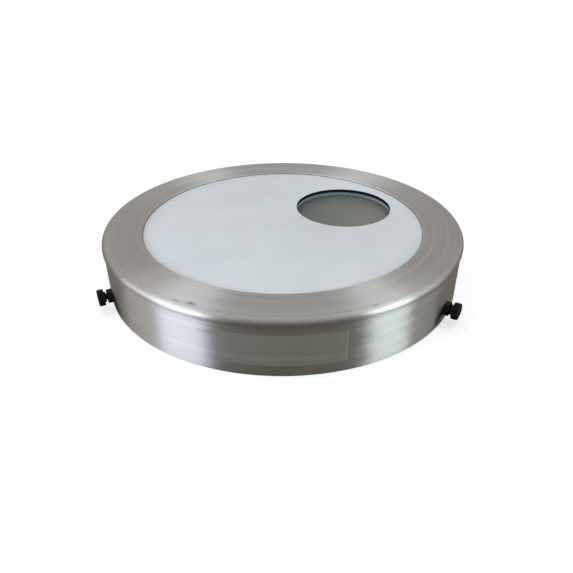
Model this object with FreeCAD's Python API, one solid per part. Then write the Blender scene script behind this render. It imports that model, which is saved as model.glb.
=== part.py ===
import FreeCAD, Part
import math
import os

# Off-axis solar filter for a telescope: a spun aluminium cell that slips over the front of the tube,
# a white-faced mask board with one round aperture beside the axis, a coated glass disc behind that
# aperture, and three nylon thumb screws that grip the tube.
# Lengths are in millimetres and angles in degrees. +Z is the cell's axis and points to the sun.
# The origin is on that axis, in the plane of the skirt's open rim.

# Spun cell: one sheet with a flange, a rounded shoulder and a straight skirt
cell_height = 44.6
lip_radius = 145.4  # widest radius, on the shoulder
shoulder_step = 1.0  # how far the skirt stands inside the shoulder
sheet = 1.5
shoulder_bend = 3.5  # outside radius of the bend between flange and skirt
return_bend = 8.0  # radius of the reverse bend that brings the shoulder back to the skirt
opening_radius = 114.0  # sight opening in the flange
edge_break = 0.3  # chamfer that takes the burr off the sheet's cut edges

# Mask board, held up against the back of the flange
board_thickness = 3.2
board_clearance = 0.9  # gap between the board's edge and the skirt
aperture_radius = 41.0
aperture_offset = 61.8  # from the cell's axis to the aperture's
aperture_azimuth = 35.2

# Filter glass and the foam ring that it is bedded on
glass_overlap = 6.0  # how far the glass reaches past the aperture's edge
glass_thickness = 3.0
glass_edge_break = 0.4
gasket_thickness = 3.0
gasket_setback = 0.3  # how far the foam's bore stands back from the aperture's edge
gasket_inset = 0.3  # how far the foam's outer edge stands inside the glass's flat face

# Beads of silicone sealant
board_bead_on_board = 3.6
board_bead_on_wall = 4.6
glass_bead_on_board = 4.5
glass_bead_on_glass = 2.0  # how far down the glass's edge the bead runs
bead_hollow = 0.12  # how deep a bead is tooled, as a share of its chord

# Felt strips that line the skirt from its rim up, one between each two thumb screws
felt_thickness = 3.2
felt_width = 28.0
felt_end_gap = 12.0  # between two strips' ends, where a thumb screw comes through
glue_line = 0.15  # adhesive under the felt, the nuts and the label

# Thumb screws and their nuts, evenly spaced round the skirt
screw_count = 3
first_screw_azimuth = 90.0
screw_height = 11.4  # from the rim to the screws' axes
thread_radius = 2.4
thread_clearance = 0.05
wall_hole_clearance = 0.3
shank_length = 11.1  # from the tip to the underside of the head
tip_setback = 0.2  # how far the backed-off screw's tip stands outside the felt's face
tip_chamfer = 0.6
collar_radius = 4.0
collar_length = 1.3
collar_chamfer = 0.2
head_radius = 6.4
head_thickness = 4.5
head_chamfer = 0.35
knurl_count = 30
knurl_depth = 0.45
nut_flats = 9.5
nut_thickness = 4.0
nut_chamfer = 0.4
nut_countersink = 0.8

# Clear label on the front of the skirt
label_width = 87.5
label_height = 24.0
label_film = 0.1
label_corner = 1.0
label_drop = 11.8  # from the front of the flange down to the label's upper edge
label_azimuth = -86.3

# Places that follow from the sizes above
wall_outer = lip_radius - shoulder_step
wall_inner = wall_outer - sheet
flange_back = cell_height - sheet
board_front = flange_back
board_back = board_front - board_thickness
board_radius = wall_inner - board_clearance
glass_radius = aperture_radius + glass_overlap
glass_front = board_back - gasket_thickness
glass_back = glass_front - glass_thickness
gasket_bore = aperture_radius + gasket_setback
gasket_edge = glass_radius - glass_edge_break - gasket_inset
felt_outer = wall_inner - glue_line
felt_inner = felt_outer - felt_thickness
screw_tip = felt_inner + tip_setback
head_seat = screw_tip + shank_length
collar_end = head_seat - collar_length
nut_seat = wall_outer + glue_line
nut_face = nut_seat + nut_thickness
aperture_x = aperture_offset * math.cos(math.radians(aperture_azimuth))
aperture_y = aperture_offset * math.sin(math.radians(aperture_azimuth))
screw_spacing = 360.0 / screw_count

ORIGIN = FreeCAD.Vector(0, 0, 0)
X_AXIS = FreeCAD.Vector(1, 0, 0)
Z_AXIS = FreeCAD.Vector(0, 0, 1)


def half_section(start, *steps):
    """A closed face of (radius, height) points. A step is a point, or (through, end) for an arc."""
    edges = []
    here = FreeCAD.Vector(start[0], 0, start[1])
    for step in steps:
        points = step if isinstance(step[0], tuple) else (step,)
        corners = [FreeCAD.Vector(r, 0, z) for r, z in points]
        if len(corners) == 2:
            edges.append(Part.Arc(here, *corners).toShape())
        else:
            edges.append(Part.LineSegment(here, corners[0]).toShape())
        here = corners[-1]
    edges.append(Part.LineSegment(here, edges[0].Vertexes[0].Point).toShape())
    return Part.Face(Part.Wire(edges))


def turned(face, angle=360):
    return face.revolve(ORIGIN, Z_AXIS, angle)


def disc(radius, bottom, thickness, x=0.0, y=0.0):
    return Part.makeCylinder(radius, thickness, FreeCAD.Vector(x, y, bottom))


def swung(shape, azimuth):
    """A copy of a shape that was built on the +X side, at its azimuth round the cell's axis."""
    copy = shape.copy()
    copy.rotate(ORIGIN, Z_AXIS, azimuth)
    return copy


def at_aperture(shape):
    """Moves a shape that was turned round the cell's axis to the aperture's axis."""
    shape.translate(FreeCAD.Vector(aperture_x, aperture_y, 0))
    return shape


def on_circle(centre, radius, angle):
    a = math.radians(angle)
    return (centre[0] + radius * math.cos(a), centre[1] + radius * math.sin(a))


def skin(inset):
    """The steps of the sheet's surface from the flange down to the wall, a distance inside its outer face.

    The shoulder bend turns the flange down past the vertical, and the reverse bend brings it back to
    the wall, so the two arcs meet on the line between their centres.
    """
    reach = shoulder_bend + return_bend
    across = reach - shoulder_step
    drop = math.sqrt(reach ** 2 - across ** 2)
    slope = math.degrees(math.atan2(drop, across))
    shoulder = (lip_radius - shoulder_bend, cell_height - shoulder_bend)
    reverse = (shoulder[0] + across, shoulder[1] - drop)
    outside = shoulder_bend - inset
    inside = return_bend + inset
    flange_end = on_circle(shoulder, outside, 90)
    shoulder_middle = on_circle(shoulder, outside, (90 - slope) / 2)
    bends_meet = on_circle(shoulder, outside, -slope)
    reverse_middle = on_circle(reverse, inside, 180 - slope / 2)
    wall_top = on_circle(reverse, inside, 180)
    return flange_end, shoulder_middle, bends_meet, reverse_middle, wall_top


def cell_blank():
    """The spun sheet before drilling."""
    flange_end, shoulder_middle, bends_meet, reverse_middle, wall_top = skin(0)
    back_end, back_shoulder, back_meet, back_reverse, back_wall = skin(sheet)
    return turned(half_section(
        (opening_radius, flange_back),
        (opening_radius, cell_height),
        flange_end,
        (shoulder_middle, bends_meet),
        (reverse_middle, wall_top),
        (wall_outer, 0),
        (wall_inner, 0),
        back_wall,
        (back_reverse, back_meet),
        (back_shoulder, back_end),
    ))


def cut_edges(blank):
    """The circles where the sheet was cut: both sides of the flange's opening and of the rim."""
    places = [
        (opening_radius, cell_height),
        (opening_radius, flange_back),
        (wall_outer, 0),
        (wall_inner, 0),
    ]
    found = []
    for edge in blank.Edges:
        if isinstance(edge.Curve, Part.Circle):
            here = (edge.Curve.Radius, edge.Curve.Center.z)
            if any(math.dist(here, place) < 1e-6 for place in places):
                found.append(edge)
    return found


def make_cell():
    blank = cell_blank()
    cell = blank.makeChamfer(min(edge_break, 0.4 * sheet), cut_edges(blank))
    start = FreeCAD.Vector(wall_inner - sheet, 0, screw_height)
    drill = Part.makeCylinder(thread_radius + wall_hole_clearance, 3 * sheet, start, X_AXIS)
    for i in range(screw_count):
        cell = cell.cut(swung(drill, first_screw_azimuth + i * screw_spacing))
    return cell


def cavity():
    """The space inside the cell, from the rim to the back of the flange."""
    back_end, back_shoulder, back_meet, back_reverse, back_wall = skin(sheet)
    return turned(half_section(
        (0, 0),
        (wall_inner, 0),
        back_wall,
        (back_reverse, back_meet),
        (back_shoulder, back_end),
        (0, flange_back),
    ))


def make_mask_board():
    board = disc(board_radius, board_back, board_thickness)
    hole = disc(aperture_radius, board_back - 1, board_thickness + 2, aperture_x, aperture_y)
    return board.cut(hole)


def tooled(a, b):
    """The middle of a bead's free surface, hollowed towards the corner that the bead fills."""
    across, up = b[0] - a[0], b[1] - a[1]
    return ((a[0] + b[0]) / 2 - up * bead_hollow, (a[1] + b[1]) / 2 + across * bead_hollow)


def make_board_bead():
    """The bead that fills the gap round the board and bonds it to the wall."""
    on_board = (board_radius - board_bead_on_board, board_back)
    on_wall = (wall_inner, board_back - board_bead_on_wall)
    outside = lip_radius + sheet
    fill_top = board_back + board_thickness / 2
    fill = half_section(
        on_board,
        (tooled(on_board, on_wall), on_wall),
        (outside, on_wall[1]),
        (outside, fill_top),
        (board_radius, fill_top),
        (board_radius, board_back),
    )
    return turned(fill).common(cavity())


def make_glass_gasket():
    ring = half_section(
        (gasket_bore, glass_front),
        (gasket_edge, glass_front),
        (gasket_edge, board_back),
        (gasket_bore, board_back),
    )
    return at_aperture(turned(ring))


def make_filter_glass():
    glass = disc(glass_radius, glass_back, glass_thickness)
    rims = [edge for edge in glass.Edges if isinstance(edge.Curve, Part.Circle)]
    return at_aperture(glass.makeChamfer(glass_edge_break, rims))


def make_glass_bead():
    """The bead round the foam ring and the glass that bonds both to the back of the board."""
    on_glass = (glass_radius, glass_front - glass_bead_on_glass)
    on_board = (glass_radius + glass_bead_on_board, board_back)
    fill = half_section(
        on_glass,
        (tooled(on_glass, on_board), on_board),
        (gasket_edge, board_back),
        (gasket_edge, glass_front),
        (glass_radius - glass_edge_break, glass_front),
        (glass_radius, glass_front - glass_edge_break),
    )
    return at_aperture(turned(fill))


def make_felt_strip():
    """One strip, from just past the screw on the +X axis to just before the next screw."""
    end_angle = math.degrees(felt_end_gap / 2 / felt_inner)
    strip = half_section(
        (felt_inner, 0),
        (felt_outer, 0),
        (felt_outer, felt_width),
        (felt_inner, felt_width),
    )
    return swung(turned(strip, screw_spacing - 2 * end_angle), end_angle)


def make_label():
    """A thin film wrapped on the wall, its outline cut as a flat rectangle with rounded corners."""
    film_inner = wall_outer + glue_line
    film_outer = film_inner + label_film
    top = cell_height - label_drop
    base = top - label_height
    chord = 2 * film_outer * math.sin(label_width / 2 / film_outer)
    corner = FreeCAD.Vector(0, -chord / 2, base)
    outline = Part.makeBox(film_outer + sheet, chord, label_height, corner)
    sides = [edge for edge in outline.Edges if edge.BoundBox.XLength > film_outer]
    outline = outline.makeFillet(label_corner, sides)
    sleeve = disc(film_outer, 0, top + sheet).cut(disc(film_inner, -1, top + 2 * sheet))
    return swung(sleeve.common(outline), label_azimuth)


def turned_on_screw(*points):
    """A solid turned round the X axis from (distance along X, radius) points."""
    corners = [FreeCAD.Vector(x, 0, r) for x, r in points]
    corners.append(corners[0])
    return Part.Face(Part.makePolygon(corners)).revolve(ORIGIN, X_AXIS, 360)


def star_outline(corner_radii, x):
    """A closed face across the X axis with one corner at each radius, evenly spaced round it."""
    points = []
    for i, radius in enumerate(corner_radii):
        a = 2 * math.pi * i / len(corner_radii)
        points.append(FreeCAD.Vector(x, radius * math.cos(a), radius * math.sin(a)))
    points.append(points[0])
    return Part.Face(Part.makePolygon(points))


def make_thumb_screw():
    """A thumb screw on the +X side, its head outwards, with a collar under its knurled head."""
    head_end = head_seat + head_thickness
    blank = turned_on_screw(
        (head_seat, 0),
        (head_seat, head_radius - head_chamfer),
        (head_seat + head_chamfer, head_radius),
        (head_end - head_chamfer, head_radius),
        (head_end, head_radius - head_chamfer),
        (head_end, 0),
    )
    knurl = star_outline([head_radius, head_radius - knurl_depth] * knurl_count, head_seat)
    head = blank.common(knurl.extrude(X_AXIS * head_thickness))
    shank = turned_on_screw(
        (screw_tip, 0),
        (screw_tip, thread_radius - tip_chamfer),
        (screw_tip + tip_chamfer, thread_radius),
        (collar_end, thread_radius),
        (collar_end, collar_radius - collar_chamfer),
        (collar_end + collar_chamfer, collar_radius),
        (head_seat, collar_radius),
        (head_seat, 0),
    )
    screw = head.fuse(shank).removeSplitter()
    screw.translate(Z_AXIS * screw_height)
    return screw


def make_nut():
    """A hexagon nut bonded to the outside of the wall, with two of its flats level."""
    corner = nut_flats / math.sqrt(3)
    bore = thread_radius + thread_clearance
    hexagon = star_outline([corner] * 6, nut_seat).extrude(X_AXIS * nut_thickness)
    chamfered = turned_on_screw(
        (nut_seat, 0),
        (nut_seat, corner),
        (nut_face - nut_chamfer, corner),
        (nut_face, corner - nut_chamfer * math.sqrt(3)),
        (nut_face, 0),
    )
    hole = turned_on_screw(
        (nut_seat - 1, 0),
        (nut_seat - 1, bore),
        (nut_face - nut_countersink, bore),
        (nut_face + 1, bore + nut_countersink + 1),
        (nut_face + 1, 0),
    )
    nut = hexagon.common(chamfered).cut(hole)
    nut.translate(Z_AXIS * screw_height)
    return nut


pieces = {
    "cell": make_cell(),
    "mask_board": make_mask_board(),
    "board_sealant": make_board_bead(),
    "glass_gasket": make_glass_gasket(),
    "filter_glass": make_filter_glass(),
    "glass_sealant": make_glass_bead(),
    "label": make_label(),
}

felt_strip = make_felt_strip()
thumb_screw = make_thumb_screw()
hex_nut = make_nut()
for i in range(screw_count):
    azimuth = first_screw_azimuth + i * screw_spacing
    pieces["felt_strip_%d" % (i + 1)] = swung(felt_strip, azimuth)
    pieces["thumb_screw_%d" % (i + 1)] = swung(thumb_screw, azimuth)
    pieces["hex_nut_%d" % (i + 1)] = swung(hex_nut, azimuth)

os.makedirs("parts", exist_ok=True)
for name, shape in pieces.items():
    solid = shape.Solids[0] if len(shape.Solids) == 1 else shape
    solid.exportStep("parts/%s.step" % name)
    print(name, "solids", len(shape.Solids), "valid", solid.isValid(), "cm3", round(solid.Volume / 1000, 2))
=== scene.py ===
import math

import bmesh
import bpy
from mathutils import Matrix, Vector, noise


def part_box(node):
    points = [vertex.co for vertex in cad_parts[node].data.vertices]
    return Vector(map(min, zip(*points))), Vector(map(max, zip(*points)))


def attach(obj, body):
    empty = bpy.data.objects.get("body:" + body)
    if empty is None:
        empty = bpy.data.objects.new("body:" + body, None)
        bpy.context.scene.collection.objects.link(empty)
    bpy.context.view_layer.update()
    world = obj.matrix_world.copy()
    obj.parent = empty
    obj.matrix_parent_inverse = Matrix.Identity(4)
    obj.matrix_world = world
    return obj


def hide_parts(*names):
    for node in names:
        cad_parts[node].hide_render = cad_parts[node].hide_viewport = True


# A slip-on solar filter for a telescope, dressed over its construction model.
# Lengths in the dictionaries are in millimetres, and the scene is in metres.

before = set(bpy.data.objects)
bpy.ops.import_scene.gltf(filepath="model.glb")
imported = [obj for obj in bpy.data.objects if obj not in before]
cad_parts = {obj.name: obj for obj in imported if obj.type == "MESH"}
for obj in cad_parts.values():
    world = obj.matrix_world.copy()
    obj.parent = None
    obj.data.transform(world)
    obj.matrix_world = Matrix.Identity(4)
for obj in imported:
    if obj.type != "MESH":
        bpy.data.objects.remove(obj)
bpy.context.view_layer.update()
print("frame loaded:", len(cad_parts), "nodes")

mm = 0.001
fullTurn = 2 * math.pi
filterBody = "filter_cell"
screwAzimuths = (90, 210, 330)


# Colours and nodes

def hexToLinear(code, alpha=1.0):
    channels = [int(code[i:i + 2], 16) / 255 for i in (0, 2, 4)]
    linear = [c / 12.92 if c <= 0.04045 else ((c + 0.055) / 1.055) ** 2.4 for c in channels]
    return (*linear, alpha)


def addNode(tree, kind, inputs=None, **settings):
    node = tree.nodes.new("ShaderNode" + kind)
    for key, value in settings.items():
        setattr(node, key, value)
    for socket, value in (inputs or {}).items():
        if isinstance(value, bpy.types.NodeSocket):
            tree.links.new(value, node.inputs[socket])
        else:
            node.inputs[socket].default_value = value
    return node


def newMaterial(name):
    material = bpy.data.materials.new(name)
    material.use_nodes = True
    material.node_tree.nodes.clear()
    return material, material.node_tree


def finishMaterial(tree, shader):
    addNode(tree, "OutputMaterial", {"Surface": shader.outputs[0]})


def objectPosition(tree):
    return addNode(tree, "TexCoord").outputs["Object"]


def flattened(tree, position):
    # The part of a position that lies across the cell's axis
    parts = addNode(tree, "SeparateXYZ", {0: position}).outputs
    return addNode(tree, "CombineXYZ", {0: parts[0], 1: parts[1]}).outputs[0]


def lengthOf(tree, vector):
    return addNode(tree, "VectorMath", {0: vector}, operation="LENGTH").outputs["Value"]


def seenDirectly(tree):
    # 1 for what the camera sees itself or through the film, and 0 for what the metal mirrors
    rays = addNode(tree, "LightPath").outputs
    return addNode(tree, "Math", {
        0: rays["Is Camera Ray"], 1: rays["Is Transmission Ray"],
    }, operation="MAXIMUM").outputs[0]


def speckle(tree, position, spacing, detail=2.0, roughness=0.5):
    # A noise whose grains are about spacing millimetres apart
    return addNode(tree, "TexNoise", {
        "Vector": position,
        "Scale": 1 / (spacing * mm),
        "Detail": detail,
        "Roughness": roughness,
    }).outputs["Fac"]


def remap(tree, value, low, high, fromLow=0.0, fromHigh=1.0):
    return addNode(tree, "MapRange", {
        "Value": value,
        "From Min": fromLow,
        "From Max": fromHigh,
        "To Min": low,
        "To Max": high,
    }).outputs["Result"]


def blendColours(tree, factor, first, second):
    mix = addNode(tree, "Mix", data_type="RGBA")
    for socket, value in ((0, factor), (6, first), (7, second)):
        if isinstance(value, bpy.types.NodeSocket):
            tree.links.new(value, mix.inputs[socket])
        else:
            mix.inputs[socket].default_value = value
    return mix.outputs[2]


def blendNumbers(tree, factor, first, second):
    return addNode(tree, "Mix", {0: factor, 2: first, 3: second}, data_type="FLOAT").outputs[0]


# Shapes

def roundCorners(corners, arcSteps=3):
    # Corners are (across, up, radius). A corner with no radius stays sharp.
    outline = []
    for i, (across, up, radius) in enumerate(corners):
        here = Vector((across, up))
        back = (Vector(corners[i - 1][:2]) - here).normalized()
        ahead = (Vector(corners[(i + 1) % len(corners)][:2]) - here).normalized()
        if radius == 0:
            outline.append(here)
            continue
        half = back.angle(ahead) / 2
        centre = here + (back + ahead).normalized() * radius / math.sin(half)
        start = here + back * radius / math.tan(half) - centre
        end = here + ahead * radius / math.tan(half) - centre
        turn = math.atan2(start.x * end.y - start.y * end.x, start.dot(end))
        for k in range(arcSteps + 1):
            outline.append(centre + Matrix.Rotation(turn * k / arcSteps, 2) @ start)
    return outline


def arcPoints(centre, radius, startAngle, endAngle, steps):
    points = []
    for k in range(steps + 1):
        a = math.radians(startAngle + (endAngle - startAngle) * k / steps)
        points.append(Vector((centre[0] + radius * math.cos(a), centre[1] + radius * math.sin(a))))
    return points


def evenPoints(start, end, spacing):
    # Points between start and end, without the two ends
    start, end = Vector(start), Vector(end)
    count = max(1, round((end - start).length / spacing))
    return [start.lerp(end, k / count) for k in range(1, count)]


def joinRings(name, rings, ends):
    # Rings all have the same number of points. Ends are "loop", "caps" or "open".
    count = len(rings[0])
    verts = [point for ring in rings for point in ring]
    faces = []
    for j in range(len(rings) if ends == "loop" else len(rings) - 1):
        low, high = j * count, (j + 1) % len(rings) * count
        for i in range(count):
            n = (i + 1) % count
            faces.append((low + i, low + n, high + n, high + i))
    if ends == "caps":
        faces.append(tuple(reversed(range(count))))
        faces.append(tuple((len(rings) - 1) * count + i for i in range(count)))
    mesh = bpy.data.meshes.new(name)
    mesh.from_pydata([tuple(v) for v in verts], [], faces)
    piece = bpy.data.objects.new(name, mesh)
    bpy.context.scene.collection.objects.link(piece)
    return piece


def spin(name, outline, steps, centre=(0, 0), ends="loop", shift=None):
    # Turns an outline of (radius, height) points, in millimetres, round a vertical axis
    rings = []
    for radius, height in outline:
        ring = []
        for i in range(steps):
            a = fullTurn * i / steps
            r, z = (radius, height) if shift is None else shift(radius, height, a)
            ring.append(Vector((centre[0] + r * math.cos(a), centre[1] + r * math.sin(a), z)) * mm)
        rings.append(ring)
    return joinRings(name, rings, ends)


def tidyMesh(piece, sharpAngle=35):
    # Merges doubled points, turns all faces outwards and shades smooth up to an angle
    shape = bmesh.new()
    shape.from_mesh(piece.data)
    bmesh.ops.remove_doubles(shape, verts=shape.verts, dist=0.0005 * mm)
    bmesh.ops.dissolve_degenerate(shape, edges=shape.edges, dist=0.0001 * mm)
    bmesh.ops.recalc_face_normals(shape, faces=shape.faces)
    shape.to_mesh(piece.data)
    shape.free()
    piece.data.shade_smooth()
    piece.data.set_sharp_from_angle(angle=math.radians(sharpAngle))


def dress(piece, material, body, slot, *nodes):
    piece.data.materials.clear()
    piece.data.materials.append(material)
    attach(piece, body)
    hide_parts(*nodes)


def swingRound(piece, azimuth):
    piece.data.transform(Matrix.Rotation(math.radians(azimuth), 4, "Z"))


def direction(azimuth, elevation):
    # A unit vector from an azimuth and a height above the horizon, both in degrees
    azimuth, elevation = math.radians(azimuth), math.radians(elevation)
    flat = math.cos(elevation)
    return Vector((flat * math.cos(azimuth), flat * math.sin(azimuth), math.sin(elevation)))


# Materials

aluminiumLook = {
    "colour": "d5d4d2",
    "lineColour": "c1c0bd",
    "roughness": 0.4,
    "roughnessSpread": 0.04,
    "anisotropy": 1.0,
    "lineSpacing": 1.4,
    "bandSpacing": 6.0,
    "scratchLength": 220.0,
    "lineDepth": 0.005,
    "lineTilt": 0.07,
    "shoulderRadius": 142.2,
    "shoulderHeight": 40.6,
    "bendHeight": 36.2,
    "shoulder": {"roughness": 0.4, "anisotropy": 0.93},
    "bend": {"roughness": 0.42, "anisotropy": 1.0},
    "cutEdge": {"roughness": 0.6, "anisotropy": 0.4},
    "scuffs": [
        {"radius": 138.5, "azimuth": -110.8, "size": 2.6, "strength": 0.75},
        {"radius": 140.0, "azimuth": -115.4, "size": 1.8, "strength": 0.6},
        {"radius": 140.9, "azimuth": -60.9, "size": 1.8, "strength": 0.4},
    ],
    "scuffStretch": 2.2,
    "scuffGrain": 0.7,
    "scuffColour": "5a5a5b",
}


def makeSpunAluminium():
    # Spun aluminium sheet, dressed with abrasive on the lathe: fine lines round the axis spread each
    # light across them, so the flange shows bright fans and the wall bright upright bands. The
    # shoulder shows a bright line, and the opening's cut edge is dull.
    look = aluminiumLook
    material, tree = newMaterial("spunAluminium")
    position = objectPosition(tree)
    height = addNode(tree, "SeparateXYZ", {0: position}).outputs[2]
    flat = flattened(tree, position)
    radius = lengthOf(tree, flat)
    heading = addNode(tree, "VectorMath", {0: flat}, operation="NORMALIZE").outputs[0]
    alongSheet = addNode(tree, "Math", {0: radius, 1: height}, operation="SUBTRACT").outputs[0]
    turns = cell["lipRadius"] / look["scratchLength"]

    def latheLines(spacing, stretch, detail, offset):
        # Noise that runs long round the axis and short across it. The real lines are 0.1 to 0.2 mm
        # apart, too fine to show here, so they are drawn coarser.
        around = addNode(tree, "VectorMath", {
            0: heading, 3: turns / stretch,
        }, operation="SCALE").outputs[0]
        across = addNode(tree, "Math", {
            0: alongSheet, 1: 1 / (spacing * mm), 2: offset,
        }, operation="MULTIPLY_ADD").outputs[0]
        sides = addNode(tree, "SeparateXYZ", {0: around}).outputs
        vector = addNode(tree, "CombineXYZ", {0: sides[0], 1: sides[1], 2: across}).outputs[0]
        return addNode(tree, "TexNoise", {
            "Vector": vector, "Scale": 1.0, "Detail": detail, "Roughness": 0.7,
        }).outputs["Fac"]

    def past(value, limit, softness):
        return addNode(tree, "MapRange", {
            "Value": value,
            "From Min": (limit - softness) * mm,
            "From Max": (limit + softness) * mm,
        }, interpolation_type="SMOOTHSTEP").outputs["Result"]

    lines = latheLines(look["lineSpacing"], stretch=1.0, detail=4.0, offset=0.0)
    bands = latheLines(look["bandSpacing"], stretch=2.0, detail=2.0, offset=40.0)
    isLip = past(radius, look["shoulderRadius"], softness=0.6)
    isShoulder = addNode(tree, "Math", {
        0: isLip, 1: past(height, look["shoulderHeight"], softness=0.8),
    }, operation="MULTIPLY").outputs[0]
    isBend = addNode(tree, "Math", {
        0: isLip, 1: past(height, look["bendHeight"], softness=1.0),
    }, operation="MULTIPLY").outputs[0]
    isCutEdge = addNode(tree, "Math", {
        0: 1.0, 1: past(radius, cell["openingRadius"] + cell["edgeBreak"], softness=0.1),
    }, operation="SUBTRACT").outputs[0]

    # Each line's scratches head a little to one side, which frays the ends of a highlight
    grain = addNode(tree, "Tangent", direction_type="RADIAL", axis="Z").outputs[0]
    bump = addNode(tree, "Bump", {"Height": lines, "Distance": look["lineDepth"] * mm}).outputs[0]
    tilt = remap(tree, lines, -look["lineTilt"], look["lineTilt"])
    lean = addNode(tree, "VectorMath", {0: grain, 3: tilt}, operation="SCALE").outputs[0]
    leaning = addNode(tree, "VectorMath", {0: bump, 1: lean}, operation="ADD").outputs[0]
    normal = addNode(tree, "VectorMath", {0: leaning}, operation="NORMALIZE").outputs[0]

    spread = look["roughnessSpread"] / 2
    dullness = remap(tree, bands, look["roughness"] - spread, look["roughness"] + spread, 0.3, 0.7)
    roughness, anisotropy = dullness, look["anisotropy"]
    for where, finish in (
        (isBend, look["bend"]),
        (isShoulder, look["shoulder"]),
        (isCutEdge, look["cutEdge"]),
    ):
        roughness = blendNumbers(tree, where, roughness, finish["roughness"])
        anisotropy = blendNumbers(tree, where, anisotropy, finish["anisotropy"])
    marks = addNode(tree, "Math", {0: lines, 1: bands}, operation="ADD").outputs[0]
    colour = blendColours(
        tree, remap(tree, marks, 0.0, 1.0, 0.7, 1.3),
        hexToLinear(look["colour"]), hexToLinear(look["lineColour"]),
    )
    # Faint dark scuffs by the shoulder, drawn out along the lathe lines
    rubbed = latheLines(look["scuffGrain"], stretch=0.12, detail=3.0, offset=90.0)
    for scuff in look["scuffs"]:
        turned = addNode(tree, "VectorRotate", {
            "Vector": position, "Angle": -math.radians(scuff["azimuth"]),
        }, rotation_type="Z_AXIS").outputs[0]
        fromScuff = addNode(tree, "VectorMath", {
            0: turned, 1: Vector((scuff["radius"], 0, cell["height"])) * mm,
        }, operation="SUBTRACT").outputs[0]
        squeezed = addNode(tree, "VectorMath", {
            0: fromScuff, 1: (1, 1 / look["scuffStretch"], 1),
        }, operation="MULTIPLY").outputs[0]
        away = lengthOf(tree, squeezed)
        nearness = remap(tree, away, scuff["strength"], 0.0, 0.0, scuff["size"] * mm)
        patch = addNode(tree, "Math", {
            0: nearness, 1: remap(tree, rubbed, 0.0, 1.6, 0.4, 0.6),
        }, operation="MULTIPLY", use_clamp=True).outputs[0]
        colour = blendColours(tree, patch, colour, hexToLinear(look["scuffColour"]))
    shader = addNode(tree, "BsdfPrincipled", {
        "Base Color": colour,
        "Metallic": 1.0,
        "Roughness": roughness,
        "Anisotropic": anisotropy,
        "Anisotropic Rotation": 0.25,
        "Tangent": grain,
        "Normal": normal,
    })
    finishMaterial(tree, shader)
    return material


boardLook = {
    "face": "dfe5e8",
    "worn": "d9dfe2",
    "core": "04090e",
    "faceDepth": 0.25,
    "grainSpacing": 0.9,
    "grainDepth": 0.02,
    "mottleSpacing": 40.0,
    "roughness": 0.45,
    "edgeRoughness": 0.7,
    # Painted shade along the seam under the flange's opening edge
    "seamShade": "5d6567",
    "seamShadeRadius": 113.4,
    "seamShadeSoftness": 0.4,
}


def makeWhiteFacedBoard():
    # Hardboard with a pressed white melamine face, and black paint on its cut edges and back: the
    # face is smooth and slightly cool, and the edge of the aperture reads as a dark line.
    look = boardLook
    material, tree = newMaterial("whiteFacedHardboard")
    position = objectPosition(tree)
    height = addNode(tree, "SeparateXYZ", {0: position}).outputs[2]
    isFace = addNode(tree, "Math", {
        0: height, 1: (board["front"] - look["faceDepth"]) * mm,
    }, operation="GREATER_THAN").outputs[0]
    grain = speckle(tree, position, look["grainSpacing"], detail=4.0)
    mottle = speckle(tree, position, look["mottleSpacing"], detail=2.0)
    faceColour = blendColours(
        tree, remap(tree, mottle, 0.0, 1.0, 0.3, 0.7),
        hexToLinear(look["face"]), hexToLinear(look["worn"]),
    )
    # Painted shade: a thin dark ring on the face just inside the flange's opening, standing in for the
    # shadow in the seam between board and flange
    fromAxis = lengthOf(tree, flattened(tree, position))
    inSeamShade = remap(
        tree, fromAxis, 0.0, 1.0,
        (look["seamShadeRadius"] - look["seamShadeSoftness"]) * mm,
        (look["seamShadeRadius"] + look["seamShadeSoftness"]) * mm,
    )
    faceColour = blendColours(tree, inSeamShade, faceColour, hexToLinear(look["seamShade"]))
    colour = blendColours(tree, isFace, hexToLinear(look["core"]), faceColour)
    roughness = remap(tree, isFace, look["edgeRoughness"], look["roughness"])
    bump = addNode(tree, "Bump", {
        "Height": grain, "Distance": look["grainDepth"] * mm, "Strength": 0.6,
    })
    shader = addNode(tree, "BsdfPrincipled", {
        "Base Color": colour,
        "Roughness": roughness,
        "IOR": 1.45,
        "Specular IOR Level": 0.2,
        "Normal": bump.outputs[0],
    })
    finishMaterial(tree, shader)
    return material


glassLook = {
    "dimSideColour": "767e7d",
    "paintedBrightSideColour": "949689",
    "roughness": 0.5,
}


def makeCoatedGlass():
    # Plate glass with a vacuum-coated metal film: it sends back a sixth of the light as a dull grey,
    # and lets next to none through. Its colour is painted lighter and a little warmer towards +X, a
    # painted reflection of the brighter surroundings it shows on that side.
    look = glassLook
    material, tree = newMaterial("metalCoatedGlass")
    position = objectPosition(tree)
    across = addNode(tree, "SeparateXYZ", {0: position}).outputs[0]
    middle, reach = apertureCentre[0] * mm, board["apertureRadius"] * mm
    # Painted reflection: the colour grows lighter and warmer across the aperture towards +X
    towardsPaintedLight = remap(tree, across, 0.0, 1.0, middle - reach, middle + reach)
    colour = blendColours(tree, towardsPaintedLight, hexToLinear(look["dimSideColour"]), hexToLinear(look["paintedBrightSideColour"]))
    shader = addNode(tree, "BsdfPrincipled", {
        "Base Color": colour,
        "Metallic": 0.5,
        "Roughness": look["roughness"],
        "IOR": 1.5,
    })
    finishMaterial(tree, shader)
    return material


foamLook = {
    "dark": "6f8288",
    "light": "8b9ca1",
    "cellSpacing": 0.6,
    "cellDepth": 0.08,
    "roughness": 0.85,
}


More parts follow.
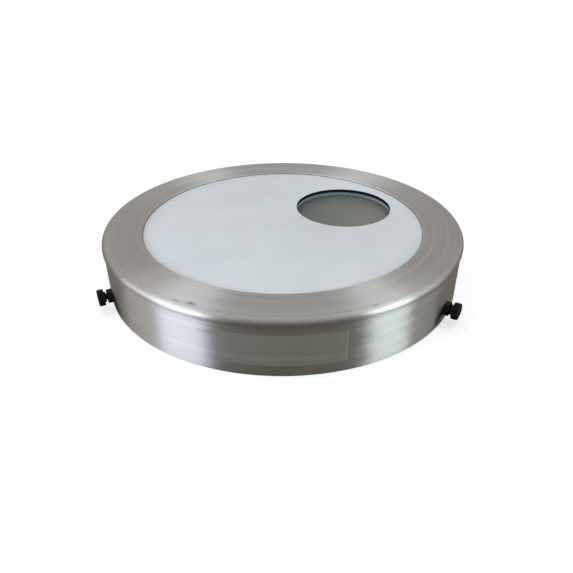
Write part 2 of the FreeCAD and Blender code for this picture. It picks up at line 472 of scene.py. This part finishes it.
def makeFoam():
    # Closed-cell foam ring: slate grey and quite matt, with pin-sized cells on its cut edge
    look = foamLook
    material, tree = newMaterial("closedCellFoam")
    cells = addNode(tree, "TexVoronoi", {
        "Vector": objectPosition(tree), "Scale": 1 / (look["cellSpacing"] * mm),
    }).outputs["Distance"]
    colour = blendColours(tree, cells, hexToLinear(look["dark"]), hexToLinear(look["light"]))
    bump = addNode(tree, "Bump", {
        "Height": cells, "Distance": look["cellDepth"] * mm, "Strength": 0.7,
    })
    shader = addNode(tree, "BsdfPrincipled", {
        "Base Color": colour,
        "Roughness": look["roughness"],
        "IOR": 1.45,
        "Normal": bump.outputs[0],
    })
    finishMaterial(tree, shader)
    return material


nylonLook = {
    "colour": "040405",
    "worn": "0b0b0d",
    "grainSpacing": 0.25,
    "grainDepth": 0.015,
    "wearSpacing": 2.5,
    "roughness": 0.48,
    "wornRoughness": 0.66,
    "shine": 0.25,
}


def makeNylon():
    # Moulded nylon: black with a soft sheen, and a faint grain from the mould
    look = nylonLook
    material, tree = newMaterial("mouldedNylon")
    position = objectPosition(tree)
    grain = speckle(tree, position, look["grainSpacing"], detail=3.0)
    wear = speckle(tree, position, look["wearSpacing"], detail=4.0)
    colour = blendColours(
        tree, remap(tree, wear, 0.0, 1.0, 0.45, 0.75),
        hexToLinear(look["colour"]), hexToLinear(look["worn"]),
    )
    bump = addNode(tree, "Bump", {
        "Height": grain, "Distance": look["grainDepth"] * mm, "Strength": 0.5,
    })
    shader = addNode(tree, "BsdfPrincipled", {
        "Base Color": colour,
        "Roughness": remap(tree, wear, look["roughness"], look["wornRoughness"]),
        "IOR": 1.53,
        "Specular IOR Level": look["shine"],
        "Normal": bump.outputs[0],
    })
    finishMaterial(tree, shader)
    return material


siliconeLook = {
    "colour": "1b1c1e",
    "waveSpacing": 5.0,
    "waveDepth": 0.2,
    "roughness": 0.3,
    "dullRoughness": 0.45,
}


def makeSilicone():
    # Silicone sealant, tooled with a finger: black, rubbery and a little wavy
    look = siliconeLook
    material, tree = newMaterial("siliconeSealant")
    waves = speckle(tree, objectPosition(tree), look["waveSpacing"], detail=2.0)
    bump = addNode(tree, "Bump", {
        "Height": waves, "Distance": look["waveDepth"] * mm, "Strength": 0.5,
    })
    shader = addNode(tree, "BsdfPrincipled", {
        "Base Color": hexToLinear(look["colour"]),
        "Roughness": remap(tree, waves, look["roughness"], look["dullRoughness"]),
        "IOR": 1.41,
        "Normal": bump.outputs[0],
    })
    finishMaterial(tree, shader)
    return material


feltLook = {
    "dark": "17171a",
    "light": "34353a",
    "napSpacing": 0.7,
    "clumpSpacing": 4.0,
    "napDepth": 0.35,
    "sheen": 0.25,
    "sheenRoughness": 0.6,
}


def makeFelt():
    # Pressed wool felt: black, with a matted nap that never shines
    look = feltLook
    material, tree = newMaterial("pressedWoolFelt")
    position = objectPosition(tree)
    nap = speckle(tree, position, look["napSpacing"], detail=6.0, roughness=0.75)
    clumps = speckle(tree, position, look["clumpSpacing"], detail=3.0)
    colour = blendColours(
        tree, remap(tree, nap, 0.0, 1.0, 0.3, 0.7),
        hexToLinear(look["dark"]), hexToLinear(look["light"]),
    )
    height = addNode(tree, "Math", {0: nap, 1: clumps}, operation="ADD").outputs[0]
    bump = addNode(tree, "Bump", {
        "Height": height, "Distance": look["napDepth"] * mm, "Strength": 0.9,
    })
    shader = addNode(tree, "BsdfPrincipled", {
        "Base Color": colour,
        "Roughness": 1.0,
        "Sheen Weight": look["sheen"],
        "Sheen Roughness": look["sheenRoughness"],
        "IOR": 1.5,
        "Normal": bump.outputs[0],
    })
    finishMaterial(tree, shader)
    return material


filmLook = {
    "colour": "c4c2b8",
    "haze": 0.11,
    "edgeHaze": 0.36,
    "edgeWidth": 1.4,
    "roughness": 0.3,
    "width": 87.5,
    "azimuth": -86.3,
}


def makeClearFilm():
    # Cast vinyl film, clear with a satin top: the metal shows through it a little hazed, and its cut
    # ends, where it lifts a hair, look whiter
    look = filmLook
    material, tree = newMaterial("clearVinylFilm")
    position = objectPosition(tree)
    azimuth = math.radians(look["azimuth"])
    sideways = addNode(tree, "VectorMath", {
        0: position, 1: (-math.sin(azimuth), math.cos(azimuth), 0),
    }, operation="DOT_PRODUCT").outputs["Value"]
    fromMiddle = addNode(tree, "Math", {0: sideways}, operation="ABSOLUTE").outputs[0]
    chord = 2 * cell["wallRadius"] * math.sin(look["width"] / 2 / cell["wallRadius"])
    end = chord / 2 * mm
    nearEnd = remap(tree, fromMiddle, 0.0, 1.0, end - look["edgeWidth"] * mm, end)
    shader = addNode(tree, "BsdfPrincipled", {
        "Base Color": hexToLinear(look["colour"]),
        "Roughness": look["roughness"],
        "IOR": 1.5,
        "Alpha": remap(tree, nearEnd, look["haze"], look["edgeHaze"]),
    })
    finishMaterial(tree, shader)
    return material


# The spun cell: one sheet with a flange, a rounded shoulder and a straight wall

cell = {
    "height": 44.6,
    "lipRadius": 145.4,
    "wallRadius": 144.4,
    "sheet": 1.5,
    "shoulderBend": 3.5,
    "returnBend": 8.0,
    "openingRadius": 114.0,
    "edgeBreak": 0.3,
    "ripple": 0.025,
    "ripplesRound": 2.2,
    "rippleLength": 30.0,
    "wallTop": 38.6,
    "screwHeight": 11.4,
    "screwHoleRadius": 2.7,
    "screwHoleDepth": 5.0,
    "steps": 360,
    "bendSteps": 12,
    "returnSteps": 5,
}


def bendPoints(inset):
    # The shoulder and the reverse bend under it, from the flange down to the wall
    outside = cell["shoulderBend"] - inset
    inside = cell["returnBend"] + inset
    reach = cell["shoulderBend"] + cell["returnBend"]
    across = reach - (cell["lipRadius"] - cell["wallRadius"])
    drop = math.sqrt(reach ** 2 - across ** 2)
    slope = math.degrees(math.atan2(drop, across))
    shoulder = (cell["lipRadius"] - cell["shoulderBend"], cell["height"] - cell["shoulderBend"])
    reverse = (shoulder[0] + across, shoulder[1] - drop)
    down = arcPoints(shoulder, outside, 90, -slope, cell["bendSteps"])
    back = arcPoints(reverse, inside, 180 - slope, 180, cell["returnSteps"])
    return down + back[1:]


def cellOutline():
    wallOut = cell["wallRadius"]
    wallIn = wallOut - cell["sheet"]
    flangeBack = cell["height"] - cell["sheet"]
    opening = cell["openingRadius"]
    edge = cell["edgeBreak"]
    outer = bendPoints(0)
    inner = list(reversed(bendPoints(cell["sheet"])))
    hub = roundCorners([(outer[0].x, cell["height"], 0), (inner[-1].x, flangeBack, 0),
                        (opening, flangeBack, edge), (opening, cell["height"], edge)])[2:]
    rim = roundCorners([(wallOut, outer[-1].y, 0), (wallOut, 0, edge),
                        (wallIn, 0, edge), (wallIn, inner[0].y, 0)])[1:-1]
    return (
        hub
        + evenPoints(hub[-1], outer[0], 4.0)
        + outer
        + evenPoints(outer[-1], rim[0], 3.0)
        + rim
        + evenPoints(rim[-1], inner[0], 3.0)
        + inner
        + evenPoints(inner[-1], hub[0], 4.0)
    )


def rippled(radius, height, angle):
    # Spinning leaves the sheet a few hundredths of a millimetre out of true
    count = cell["ripplesRound"]
    along = (radius - height) / cell["rippleLength"]
    push = cell["ripple"] * noise.noise(Vector((math.cos(angle) * count, math.sin(angle) * count, along)))
    isWall = height < cell["wallTop"]
    return (radius + push, height) if isWall else (radius, height + push)


def drillWall(piece):
    # Holes for the thumb screws, hidden by the nuts, each towards the middle of its screw's box
    cutters = []
    radius, depth = cell["screwHoleRadius"], cell["screwHoleDepth"]
    place = Vector((cell["wallRadius"], 0, cell["screwHeight"])) * mm
    for number in range(1, len(screwAzimuths) + 1):
        low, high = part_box("thumb_screw_%d" % number)
        middle = (low + high) / 2
        cutter = spin("drill", [(radius, -depth), (radius, depth)], 48, ends="caps")
        cutter.data.transform(Matrix.Translation(place) @ Matrix.Rotation(math.pi / 2, 4, "Y"))
        swingRound(cutter, math.degrees(math.atan2(middle.y, middle.x)))
        tidyMesh(cutter)
        cut = piece.modifiers.new("hole", "BOOLEAN")
        cut.operation = "DIFFERENCE"
        cut.solver = "EXACT"
        cut.object = cutter
        cutters.append(cutter)
    graph = bpy.context.evaluated_depsgraph_get()
    drilled = bpy.data.meshes.new_from_object(piece.evaluated_get(graph))
    piece.modifiers.clear()
    piece.data = drilled
    for cutter in cutters:
        bpy.data.objects.remove(cutter)


def makeCell():
    piece = spin("spunCell", cellOutline(), cell["steps"], shift=rippled)
    tidyMesh(piece)
    drillWall(piece)
    tidyMesh(piece)
    dress(piece, makeSpunAluminium(), filterBody, "spun_aluminium", "cell")


makeCell()
print("cell made")


# The mask board with its round aperture, and what is bedded behind it

board = {
    "radius": 142.0,
    "front": 43.1,
    "back": 39.9,
    "apertureRadius": 41.0,
    "apertureOffset": 61.8,
    "apertureAzimuth": 35.2,
    "edgeRound": 0.2,
    "rimSteps": 256,
    "apertureSteps": 160,
}
apertureCentre = (
    board["apertureOffset"] * math.cos(math.radians(board["apertureAzimuth"])),
    board["apertureOffset"] * math.sin(math.radians(board["apertureAzimuth"])),
)


def wallStrip(shape, outline, steps, centre):
    # Adds a band of faces turned round centre, and returns its first and last rings of edges
    rings = []
    for radius, height in outline:
        ring = []
        for i in range(steps):
            a = fullTurn * i / steps
            place = Vector((centre[0] + radius * math.cos(a), centre[1] + radius * math.sin(a), height))
            ring.append(shape.verts.new(place * mm))
        rings.append(ring)
    for low, high in zip(rings, rings[1:]):
        for i in range(steps):
            n = (i + 1) % steps
            shape.faces.new((low[i], low[n], high[n], high[i]))
    ends = []
    for ring in (rings[0], rings[-1]):
        ends.append([shape.edges.get((ring[i], ring[(i + 1) % steps])) for i in range(steps)])
    return ends


def makeBoard():
    # Two rounded edges, one round the board and one round its aperture, with flat faces between
    edge = board["edgeRound"]
    bottom, top = board["back"], board["front"]
    rim, hole = board["radius"], board["apertureRadius"]
    outer = roundCorners([(0, bottom, 0), (rim, bottom, edge), (rim, top, edge), (0, top, 0)])[1:-1]
    inner = roundCorners([(rim, bottom, 0), (hole, bottom, edge), (hole, top, edge), (rim, top, 0)])[1:-1]
    shape = bmesh.new()
    outerEnds = wallStrip(shape, outer, board["rimSteps"], (0, 0))
    innerEnds = wallStrip(shape, inner, board["apertureSteps"], apertureCentre)
    for outerRing, innerRing in zip(outerEnds, innerEnds):
        edges = outerRing + innerRing
        bmesh.ops.triangle_fill(shape, use_beauty=True, use_dissolve=False, edges=edges)
    mesh = bpy.data.meshes.new("maskBoard")
    shape.to_mesh(mesh)
    shape.free()
    piece = bpy.data.objects.new("maskBoard", mesh)
    bpy.context.scene.collection.objects.link(piece)
    tidyMesh(piece, 25)
    dress(piece, makeWhiteFacedBoard(), filterBody, "white_faced_board", "mask_board")


glass = {
    "radius": 47.0,
    "back": 33.9,
    "front": 36.9,
    "edgeBreak": 0.4,
    "gasketBore": 41.3,
    "gasketEdge": 46.3,
    "gasketCorner": 0.1,
    "gasketWander": 0.2,
    "steps": 192,
}


def makeGlass():
    edge = glass["edgeBreak"]
    outline = roundCorners([(0, glass["back"], 0), (glass["radius"], glass["back"], edge),
                            (glass["radius"], glass["front"], edge), (0, glass["front"], 0)], 2)
    piece = spin("filterGlass", outline, glass["steps"], apertureCentre, ends="open")
    tidyMesh(piece, 25)
    dress(piece, makeCoatedGlass(), filterBody, "coated_glass", "filter_glass")


def makeGasket():
    corner = glass["gasketCorner"]
    outline = roundCorners([
        (glass["gasketBore"], glass["front"], corner),
        (glass["gasketEdge"], glass["front"], corner),
        (glass["gasketEdge"], board["back"], corner),
        (glass["gasketBore"], board["back"], corner),
    ], 2)

    def uneven(radius, height, angle):
        # Cut by hand, so its bore wanders by a tenth or two
        place = Vector((math.cos(angle) * 5, math.sin(angle) * 5, height / 8))
        return radius + max(0.0, glass["gasketWander"] * noise.noise(place)), height

    piece = spin("glassGasket", outline, glass["steps"], apertureCentre, shift=uneven)
    tidyMesh(piece, 40)
    dress(piece, makeFoam(), filterBody, "foam", "glass_gasket")


makeBoard()
makeGlass()
makeGasket()
print("board and glass made")


# Beads of sealant, and the felt inside the skirt

bead = {
    "boardFoot": 138.4,
    "wallFoot": 35.3,
    "wallRadius": 142.9,
    "rise": 1.6,
    "glassFoot": 34.9,
    "boardReach": 51.5,
    "hollow": 0.12,
    "faceSteps": 8,
    "wander": 0.35,
    "boardLumps": 14,
    "glassLumps": 9,
}


def hollowFace(start, end):
    # A free surface between two feet, pulled in towards the corner that it fills
    steps = bead["faceSteps"]
    start, end = Vector(start), Vector(end)
    along = end - start
    inwards = Vector((-along.y, along.x)) * bead["hollow"]
    points = []
    for k in range(steps + 1):
        t = k / steps
        points.append(start + along * t + inwards * 4 * t * (1 - t))
    return points


siliconeSealant = makeSilicone()


def makeBoardBead():
    side, back, lumps = bead["wallRadius"], board["back"], bead["boardLumps"]
    face = hollowFace((bead["boardFoot"], back), (side, bead["wallFoot"]))
    corner = [
        Vector((side, back + bead["rise"])),
        Vector((board["radius"], back + bead["rise"])),
        Vector((board["radius"], back)),
    ]

    def wandering(radius, height, angle):
        # The feet stay put, and the tooled face swells and sinks a little
        place = Vector((math.cos(angle) * lumps, math.sin(angle) * lumps, 3.0))
        isFace = height < back - 0.1
        share = min(1.0, max(0.0, (side - radius) / 2)) if isFace else 0
        return radius + bead["wander"] * share * noise.noise(place), height

    piece = spin("boardSealant", face + corner, 360, shift=wandering)
    tidyMesh(piece, 50)
    dress(piece, siliconeSealant, filterBody, "silicone", "board_sealant")


def makeGlassBead():
    back, lumps = board["back"], bead["glassLumps"]
    face = hollowFace((glass["radius"], bead["glassFoot"]), (bead["boardReach"], back))
    corner = [
        Vector((glass["gasketEdge"], back)),
        Vector((glass["gasketEdge"], glass["front"])),
        Vector((glass["radius"], glass["front"] - glass["edgeBreak"])),
    ]

    def wandering(radius, height, angle):
        place = Vector((math.cos(angle) * lumps, math.sin(angle) * lumps, 7.0))
        isFace = glass["radius"] + 0.2 < radius and height < back - 0.1
        share = 1 if isFace else 0
        return radius + bead["wander"] * share * noise.noise(place), height

    piece = spin("glassSealant", face + corner, 240, apertureCentre, shift=wandering)
    tidyMesh(piece, 50)
    dress(piece, siliconeSealant, filterBody, "silicone", "glass_sealant")


felt = {
    "outer": 142.75,
    "inner": 139.55,
    "height": 28.0,
    "endGap": 12.0,
    "round": 0.5,
    "nap": 0.12,
    "clump": 2.5,
    "steps": 120,
}


def makeFeltStrips():
    pressedWoolFelt = makeFelt()
    outline = roundCorners([
        (felt["inner"], 0, felt["round"]),
        (felt["outer"], 0, felt["round"]),
        (felt["outer"], felt["height"], felt["round"]),
        (felt["inner"], felt["height"], felt["round"]),
    ])
    outline = outline + evenPoints(outline[-1], outline[0], 2.0)
    halfGap = math.degrees(felt["endGap"] / 2 / felt["inner"])
    for number, azimuth in enumerate(screwAzimuths, 1):
        start, end = azimuth + halfGap, azimuth + 120 - halfGap
        rings = []
        for k in range(felt["steps"] + 1):
            a = math.radians(start + (end - start) * k / felt["steps"])
            ring = []
            for r, z in outline:
                # Only the inner face is lumpy: the ends and the glued back stay true
                isInner = 0.2 < z < felt["height"] - 0.2 and r < felt["outer"] - 0.5
                place = Vector((math.cos(a) * r, math.sin(a) * r, z)) / felt["clump"]
                push = felt["nap"] * abs(noise.noise(place)) if isInner else 0
                ring.append(Vector(((r + push) * math.cos(a), (r + push) * math.sin(a), z)) * mm)
            rings.append(ring)
        piece = joinRings("feltStrip_%d" % number, rings, "caps")
        tidyMesh(piece, 60)
        dress(piece, pressedWoolFelt, filterBody, "felt", "felt_strip_%d" % number)


makeBoardBead()
makeGlassBead()
makeFeltStrips()
print("sealant and felt made")


# Thumb screws and nuts, made on the +X side and swung to their places

screw = {
    "tip": 139.75,
    "seat": 150.85,
    "headThickness": 4.5,
    "headRadius": 6.4,
    "headChamfer": 0.35,
    "headEdge": 0.08,
    "grooves": 30,
    "grooveDepth": 0.45,
    "grooveSteps": 8,
    "crestShare": 1.35,
    "collarRadius": 4.0,
    "collarLength": 1.3,
    "collarRound": 0.2,
    "threadRadius": 2.4,
    "threadDepth": 0.62,
    "threadSteps": 12,
    "pitch": 1.06,
    "rootFlat": 0.12,
    "flankShare": 0.7,
    "tipChamfer": 0.6,
}
nut = {
    "seat": 144.55,
    "thickness": 4.0,
    "flats": 9.5,
    "chamfer": 0.4,
    "bore": 2.45,
    "countersink": 0.8,
    "edgeRound": 0.12,
    "steps": 96,
}


def ringAcross(distance, radii):
    # A ring of points across the X axis, one for each radius
    ring = []
    for i, radius in enumerate(radii):
        a = fullTurn * i / len(radii)
        up = cell["screwHeight"] + radius * math.sin(a)
        ring.append(Vector((distance, radius * math.cos(a), up)) * mm)
    return ring


def grooved(share):
    # The knurl's outline: V grooves with blunt crests. Share goes from crest to crest.
    fromGroove = abs(share - 0.5) * 2
    depth = 1 - min(1.0, fromGroove * screw["crestShare"])
    return screw["headRadius"] - screw["grooveDepth"] * depth


def threadHeight(share):
    # A 60 degree thread with flats at its crest and root
    side = min(share, 1 - share) * 2
    return min(1.0, max(0.0, (side - screw["rootFlat"]) / screw["flankShare"]))


def makeScrew(name, azimuth):
    steps = screw["grooveSteps"]
    count = screw["grooves"] * steps
    seat, end = screw["seat"], screw["seat"] + screw["headThickness"]
    knurl = [grooved((i / steps) % 1) for i in range(count)]
    rings = []

    # The shank, tip first: its thread dies out at the tip and at the collar
    collarEnd = seat - screw["collarLength"]
    length = collarEnd - screw["tip"]
    rows = round(length / screw["pitch"] * screw["threadSteps"])
    for j in range(rows + 1):
        x = screw["tip"] + length * j / rows
        fade = min(1.0, j / 6, (rows - j) / 8)
        tipLimit = screw["threadRadius"] - screw["tipChamfer"] + (x - screw["tip"])
        radii = []
        for i in range(count):
            share = (x / screw["pitch"] - i / count) % 1
            cut = screw["threadDepth"] * (1 - threadHeight(share)) * fade
            radii.append(min(screw["threadRadius"] - cut, tipLimit))
        rings.append(ringAcross(x, radii))

    # The collar, then the head: flat under face, chamfer, knurl, chamfer, flat outer face
    collar, soft = screw["collarRadius"], screw["collarRound"]
    for x, radius in (
        (collarEnd, collar - soft),
        (collarEnd + soft, collar),
        (seat - soft / 2, collar),
        (seat, collar + soft / 2),
    ):
        rings.append(ringAcross(x, [radius] * count))
    head, chamfer, edge = screw["headRadius"], screw["headChamfer"], screw["headEdge"]
    for x, limit in (
        (seat, head - chamfer),
        (seat + chamfer, head),
        (end - chamfer, head),
        (end - 0.1, head - chamfer + edge),
        (end, head - chamfer - edge),
    ):
        rings.append(ringAcross(x, [min(r, limit) for r in knurl]))
    piece = joinRings(name + "_threaded", rings, "caps")
    swingRound(piece, azimuth)
    tidyMesh(piece, 30)
    dress(piece, mouldedNylon, name, "black_nylon", name)


def makeNut(name, azimuth):
    count = nut["steps"]
    seat, face = nut["seat"], nut["seat"] + nut["thickness"]
    corner = nut["flats"] / math.sqrt(3)
    chamfer = nut["chamfer"]

    def hexagon(limit):
        radii = []
        for i in range(count):
            fromFlat = abs((360 * i / count) % 60 - 30)
            radii.append(min(nut["flats"] / 2 / math.cos(math.radians(fromFlat)), limit))
        return radii

    blunt = corner - nut["edgeRound"]
    rings = [
        ringAcross(seat, hexagon(blunt - 0.1)),
        ringAcross(seat + 0.1, hexagon(blunt)),
        ringAcross(face - chamfer, hexagon(blunt)),
        ringAcross(face - chamfer / 2, hexagon(corner - chamfer * math.sqrt(3) / 2)),
        ringAcross(face, hexagon(corner - chamfer * math.sqrt(3))),
        ringAcross(face, [nut["bore"] + nut["countersink"]] * count),
        ringAcross(face - nut["countersink"], [nut["bore"]] * count),
        ringAcross(seat, [nut["bore"]] * count),
    ]
    piece = joinRings(name + "_moulded", rings, "loop")
    swingRound(piece, azimuth)
    tidyMesh(piece, 25)
    dress(piece, mouldedNylon, filterBody, "black_nylon", name)


mouldedNylon = makeNylon()
for number, azimuth in enumerate(screwAzimuths, 1):
    makeScrew("thumb_screw_%d" % number, azimuth)
    makeNut("hex_nut_%d" % number, azimuth)
print("screws and nuts made")


# The label keeps its construction mesh and gets the film's finish

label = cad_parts["label"]
label.data.materials.clear()
label.data.materials.append(makeClearFilm())


# Camera, floor and lights

view = {
    "distance": 467.7,
    "azimuth": -85.6,
    "elevation": 24.75,
    "pan": -0.343,
    "aimDown": 6.741,
    "roll": -0.195,
    "focalPixels": 559.7,
    "imagePixels": 573,
    "sensorWidth": 36.0,
}


def placeCamera():
    target = Vector((0, 0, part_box("cell")[1].z))
    away = direction(view["azimuth"], view["elevation"])
    look = (-away).to_track_quat("-Z", "Y").to_matrix()
    pan = Matrix.Rotation(math.radians(view["pan"]), 3, "Y")
    aim = Matrix.Rotation(-math.radians(view["aimDown"]), 3, "X")
    roll = Matrix.Rotation(math.radians(view["roll"]), 3, "Z")
    data = bpy.data.cameras.new("camera")
    data.sensor_fit = "HORIZONTAL"
    data.sensor_width = view["sensorWidth"]
    data.lens = view["sensorWidth"] * view["focalPixels"] / view["imagePixels"]
    data.clip_start = 0.01
    camera = bpy.data.objects.new("camera", data)
    bpy.context.scene.collection.objects.link(camera)
    place = Matrix.Translation(target + away * view["distance"] * mm)
    camera.matrix_world = place @ (look @ pan @ aim @ roll).to_4x4()
    bpy.context.scene.camera = camera


floorLook = {
    "radius": 6000.0,
    "bench": "6c6854",
    "pale": "e6e6e6",
    "lift": 0.44,
    "shadowStart": 250.0,
    "shadowEnd": 420.0,
}


def makeFloor():
    # To the camera the floor is white but for the object's soft shadow. What the metal mirrors is
    # the bench's own colour.
    look = floorLook
    material, tree = newMaterial("paleFloor")
    distance = lengthOf(tree, objectPosition(tree))
    nearness = remap(tree, distance, 1.0, 0.0, look["shadowStart"] * mm, look["shadowEnd"] * mm)
    pale = addNode(tree, "BsdfDiffuse", {"Color": hexToLinear(look["pale"])})
    lift = addNode(tree, "Emission", {"Color": (1, 1, 1, 1), "Strength": look["lift"]})
    white = addNode(tree, "Emission", {"Color": (1, 1, 1, 1), "Strength": 1.0})
    shaded = addNode(tree, "AddShader", {0: pale.outputs[0], 1: lift.outputs[0]})
    seen = addNode(tree, "MixShader", {0: nearness, 1: white.outputs[0], 2: shaded.outputs[0]})
    bench = addNode(tree, "BsdfDiffuse", {"Color": hexToLinear(look["bench"])})
    shader = addNode(tree, "MixShader", {0: seenDirectly(tree), 1: bench.outputs[0], 2: seen.outputs[0]})
    finishMaterial(tree, shader)
    floor = spin("floor", [(0, 0), (look["radius"], 0)], 64, ends="open")
    tidyMesh(floor)
    floor.data.materials.append(material)


studio = {
    "zenith": 0.65,
    "zenithColour": "ffffff",
    "zenithHeight": 0.8,
    "horizon": 0.375,
    "horizonColour": "fff6ec",
    "cameraSide": 0.09,
    "cameraSideStart": 0.35,
    "cameraSideEnd": 0.85,
    "overheadShare": 0.5,
    "windows": [
        {"name": "leftWindow", "azimuth": -141.5, "elevation": 12.0, "distance": 1100.0, "width": 560.0,
         "height": 500.0, "brightness": 7.5, "colour": "e6edff"},
        {"name": "farLeftWindow", "azimuth": -170.0, "elevation": 15.0, "distance": 1100.0, "width": 560.0,
         "height": 560.0, "brightness": 1.7, "colour": "f6f4f6"},
        {"name": "rightWindow", "azimuth": -27.0, "elevation": 12.0, "distance": 1100.0, "width": 490.0,
         "height": 500.0, "brightness": 6.3, "colour": "e8f8f8"},
        {"name": "farRightWindow", "azimuth": 0.0, "elevation": 14.0, "distance": 1100.0, "width": 360.0,
         "height": 560.0, "brightness": 0.8, "colour": "f0f8f4"},
        {"name": "leftSkylight", "azimuth": 170.5, "elevation": 57.0, "distance": 1200.0, "width": 300.0,
         "height": 500.0, "brightness": 1.9, "colour": "f4f8ff"},
        {"name": "rightSkylight", "azimuth": 18.0, "elevation": 57.0, "distance": 1200.0, "width": 200.0,
         "height": 500.0, "brightness": 2.6, "colour": "f4fbff"},
    ],
}


def makeWindow(box):
    away = direction(box["azimuth"], box["elevation"])
    data = bpy.data.lights.new(box["name"], "AREA")
    data.shape = "RECTANGLE"
    data.size = box["width"] * mm
    data.size_y = box["height"] * mm
    data.energy = box["brightness"] * math.pi * data.size * data.size_y
    data.color = hexToLinear(box["colour"])[:3]
    lamp = bpy.data.objects.new(box["name"], data)
    bpy.context.scene.collection.objects.link(lamp)
    turn = away.to_track_quat("Z", "Y").to_matrix().to_4x4()
    lamp.matrix_world = Matrix.Translation(away * box["distance"] * mm) @ turn


def makeRoom():
    # A grey room, warm near the horizon and dark on the camera's side, with white behind the object
    world = bpy.data.worlds.new("studio")
    bpy.context.scene.world = world
    world.use_nodes = True
    tree = world.node_tree
    tree.nodes.clear()
    heading = addNode(tree, "TexCoord").outputs["Generated"]
    up = addNode(tree, "SeparateXYZ", {0: heading}).outputs[2]
    azimuth = math.radians(view["azimuth"])
    towards = addNode(tree, "VectorMath", {
        0: heading, 1: (math.cos(azimuth), math.sin(azimuth), -studio["overheadShare"]),
    }, operation="DOT_PRODUCT").outputs["Value"]
    height = remap(tree, up, 0.0, 1.0, 0.0, studio["zenithHeight"])
    overhead = remap(tree, height, studio["horizon"], studio["zenith"])
    tint = blendColours(
        tree, height, hexToLinear(studio["horizonColour"]), hexToLinear(studio["zenithColour"]),
    )
    isCameraSide = addNode(tree, "MapRange", {
        "Value": towards,
        "From Min": studio["cameraSideStart"],
        "From Max": studio["cameraSideEnd"],
    }, interpolation_type="SMOOTHSTEP").outputs["Result"]
    grey = blendNumbers(tree, isCameraSide, overhead, studio["cameraSide"])
    room = addNode(tree, "Background", {"Color": tint, "Strength": grey})
    white = addNode(tree, "Background", {"Color": (1, 1, 1, 1), "Strength": 1.0})
    shader = addNode(tree, "MixShader", {0: seenDirectly(tree), 1: room.outputs[0], 2: white.outputs[0]})
    addNode(tree, "OutputWorld", {"Surface": shader.outputs[0]})


placeCamera()
makeFloor()
for window in studio["windows"]:
    makeWindow(window)
makeRoom()
bpy.context.scene.view_settings.view_transform = "Standard"
print("camera and lights placed")
